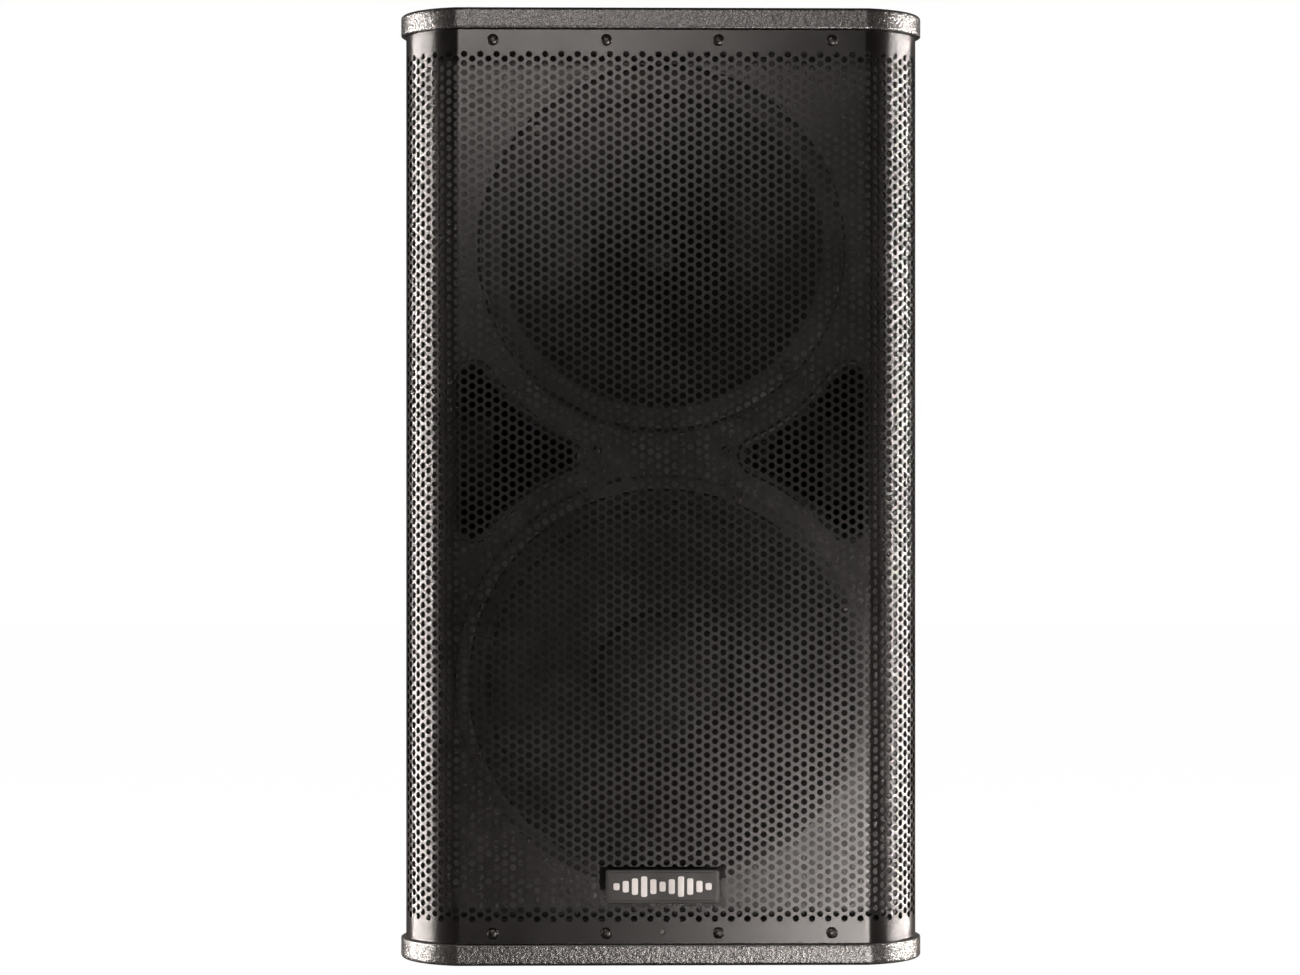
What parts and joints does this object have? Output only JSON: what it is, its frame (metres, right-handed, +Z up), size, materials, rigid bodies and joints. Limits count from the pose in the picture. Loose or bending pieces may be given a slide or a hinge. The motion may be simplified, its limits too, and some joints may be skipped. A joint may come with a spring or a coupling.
{
  "type": "pa speaker cabinet",
  "caption": "Two-way PA loudspeaker cabinet with a wrap-round perforated grille, cast end caps, woofer, waveguide, ports, side handles and a pole socket.",
  "frame": {"origin": "middle of the footprint, in the plane that the feet stand on", "axes": "+Z up, -Y out of the grille, +X to the right as seen from the front"},
  "size_m": [0.3968, 0.365, 0.7185],
  "materials": {
    "cabinet_paint": "coarse textured black paint over plywood",
    "inner_wood": "matt black stain over plywood",
    "cap_casting": "coarse textured black powder coat over cast aluminium",
    "grille_steel": "black powder coat, semi gloss",
    "badge_plastic": "satin dark grey with a pale emblem",
    "screw_steel": "black zinc, glossy",
    "black_plastic": "moulded, fine texture",
    "bare_steel": "zinc plated",
    "ferrite": "dull ceramic magnet",
    "titanium": "thin pressed metal, satin",
    "frame_casting": "cast, black coat",
    "cone_paper": "pressed pulp, matt black",
    "copper_wire": "lacquered winding",
    "woven_cloth": "doped woven cloth",
    "circuit_board": "green solder mask",
    "capacitor_film": "yellow film wrap",
    "rubber": "matt black",
    "wadding": "loose polyester fibre"
  },
  "bodies": {
    "cabinet": {"side_panel_left": "cabinet_paint", "side_panel_right": "cabinet_paint", "rear_panel": "cabinet_paint", "top_panel": "inner_wood", "bottom_panel": "inner_wood", "baffle": "inner_wood", "end_cap_top": "cap_casting", "end_cap_bottom": "cap_casting", "input_plate": "cap_casting", "pole_socket": "cap_casting", "grille": "grille_steel", "badge_plate": "badge_plastic", "grille_screw_top_1": "screw_steel", "grille_screw_top_2": "screw_steel", "grille_screw_top_3": "screw_steel", "grille_screw_top_4": "screw_steel", "grille_screw_bottom_1": "screw_steel", "grille_screw_bottom_2": "screw_steel", "grille_screw_bottom_3": "screw_steel", "grille_screw_bottom_4": "screw_steel", "waveguide": "black_plastic", "driver_cover": "black_plastic", "port_duct_left": "black_plastic", "port_duct_right": "black_plastic", "handle_cup_left": "black_plastic", "handle_cup_right": "black_plastic", "speaker_socket_1": "black_plastic", "speaker_socket_2": "black_plastic", "driver_front_plate": "bare_steel", "driver_rear_plate": "bare_steel", "woofer_top_plate": "bare_steel", "woofer_back_plate": "bare_steel", "rigging_plug_top_1": "bare_steel", "rigging_plug_top_2": "bare_steel", "rigging_plug_bottom_1": "bare_steel", "rigging_plug_bottom_2": "bare_steel", "rigging_plug_rear": "bare_steel", "driver_magnet": "ferrite", "woofer_magnet": "ferrite", "woofer_frame": "frame_casting", "crossover_coil_1": "copper_wire", "crossover_coil_2": "copper_wire", "crossover_board": "circuit_board", "crossover_capacitor_1": "capacitor_film", "crossover_capacitor_2": "capacitor_film", "handle_bar_left": "rubber", "handle_bar_right": "rubber", "foot_1": "rubber", "foot_2": "rubber", "foot_3": "rubber", "foot_4": "rubber", "wadding_pad": "wadding"},
    "woofer_cone": {"woofer_cone": "cone_paper", "dust_cap": "cone_paper", "voice_coil": "copper_wire", "surround": "woven_cloth", "spider": "woven_cloth"},
    "tweeter_diaphragm": {"driver_diaphragm": "titanium"},
    "mode_selector": {"mode_knob": "black_plastic"}
  },
  "joints": [
    {"name": "cone_excursion", "type": "slide", "parent": "cabinet", "child": "woofer_cone", "axis": [0, -1, 0], "range_m": [-0.006, 0.006], "stiffness_N_per_m": 4000, "deforming": ["surround", "spider"]},
    {"name": "diaphragm_excursion", "type": "slide", "parent": "cabinet", "child": "tweeter_diaphragm", "axis": [0, -1, 0], "range_m": [-0.0004, 0.0004], "stiffness_N_per_m": 3000},
    {"name": "mode_turn", "type": "hinge", "parent": "cabinet", "child": "mode_selector", "pos_m": [0, 0.155, 0.19], "axis": [0, 1, 0], "range_deg": [0, 60]}
  ]
}
